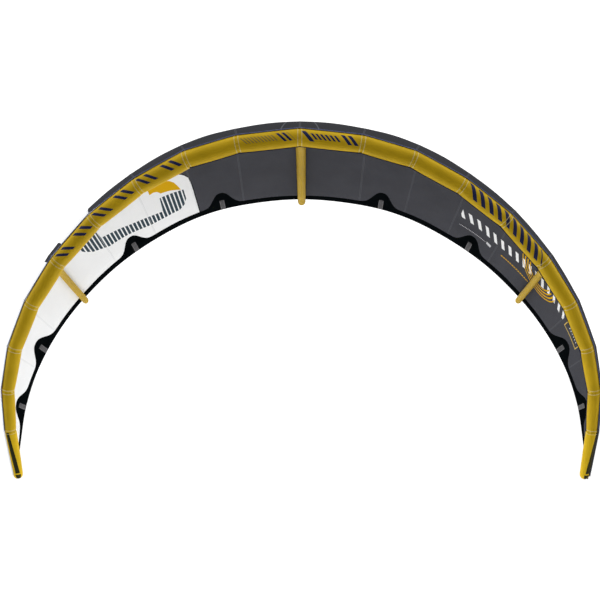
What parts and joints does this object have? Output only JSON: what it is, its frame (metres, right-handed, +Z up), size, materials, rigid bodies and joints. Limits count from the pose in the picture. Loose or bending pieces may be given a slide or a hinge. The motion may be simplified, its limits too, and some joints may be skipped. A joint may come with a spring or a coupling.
{
  "type": "leading edge inflatable kite",
  "caption": "Arched inflatable power kite: segmented gold leading-edge tube, struts, cambered fabric canopy, battened dark trailing edge, inflation valve and line tabs.",
  "frame": {"origin": "axis of the leading-edge tube at mid-span, where the kite is held", "axes": "+Z up, the arch's top side; +X along the span, to the left of someone flying it; the front of the kite faces -Y and the trailing edge is towards +Y"},
  "size_m": [4.2318, 1.6714, 2.5399],
  "materials": {
    "gold_casing": "laminated gold cloth, satin",
    "charcoal_ripstop": "charcoal ripstop, satin",
    "white_ripstop": "white ripstop, satin",
    "black_trailing_edge": "black woven polyester, matte",
    "grey_batten": "matte",
    "bladder_film": "clear film, satin",
    "valve_plastic": "moulded, satin",
    "cap_plastic": "moulded, satin",
    "hose_rubber": "matte",
    "black_webbing": "webbing, matte"
  },
  "bodies": {
    "wing": {"leading_edge_left_1": "gold_casing", "leading_edge_left_2": "gold_casing", "leading_edge_left_3": "gold_casing", "leading_edge_left_4": "gold_casing", "leading_edge_left_5": "gold_casing", "leading_edge_left_6": "gold_casing", "leading_edge_left_7": "gold_casing", "leading_edge_left_8": "gold_casing", "leading_edge_left_9": "gold_casing", "leading_edge_left_10": "gold_casing", "leading_edge_right_1": "gold_casing", "leading_edge_right_2": "gold_casing", "leading_edge_right_3": "gold_casing", "leading_edge_right_4": "gold_casing", "leading_edge_right_5": "gold_casing", "leading_edge_right_6": "gold_casing", "leading_edge_right_7": "gold_casing", "leading_edge_right_8": "gold_casing", "leading_edge_right_9": "gold_casing", "leading_edge_right_10": "gold_casing", "canopy_left_1": "charcoal_ripstop", "canopy_left_2": "white_ripstop", "canopy_left_3": "white_ripstop", "canopy_left_4": "white_ripstop", "canopy_left_5": "white_ripstop", "canopy_left_6": "white_ripstop", "canopy_right_1": "charcoal_ripstop", "canopy_right_2": "charcoal_ripstop", "canopy_right_3": "charcoal_ripstop", "canopy_right_4": "charcoal_ripstop", "canopy_right_5": "charcoal_ripstop", "canopy_right_6": "charcoal_ripstop", "trailing_edge_left": "black_trailing_edge", "trailing_edge_right": "black_trailing_edge", "batten_left_1": "grey_batten", "batten_left_2": "grey_batten", "batten_left_3": "grey_batten", "batten_left_4": "grey_batten", "batten_right_1": "grey_batten", "batten_right_2": "grey_batten", "batten_right_3": "grey_batten", "batten_right_4": "grey_batten", "strut_centre": "gold_casing", "strut_left": "gold_casing", "strut_right": "gold_casing", "leading_edge_bladder": "bladder_film", "strut_bladder_centre": "bladder_film", "strut_bladder_left": "bladder_film", "strut_bladder_right": "bladder_film", "airlink_hose_centre": "hose_rubber", "airlink_hose_left": "hose_rubber", "airlink_hose_right": "hose_rubber", "valve_neck": "valve_plastic", "bridle_tab_left": "black_webbing", "bridle_tab_right": "black_webbing", "back_line_tab_left": "black_webbing", "back_line_tab_right": "black_webbing"},
    "valve_body": {"valve_body": "valve_plastic"},
    "valve_cap": {"valve_cap": "cap_plastic"}
  },
  "joints": [
    {"name": "valve_twist", "type": "hinge", "parent": "wing", "child": "valve_body", "pos_m": [0.14536, 0.06887, -0.02651], "axis": [-0.0405, 0.9829, -0.1796], "range_deg": [0, 90]},
    {"name": "valve_cap_hinge", "type": "hinge", "parent": "valve_body", "child": "valve_cap", "pos_m": [0.14323, 0.07653, -0.0548], "axis": [-0.9973, -0.0287, 0.0675], "range_deg": [0, 110]}
  ]
}
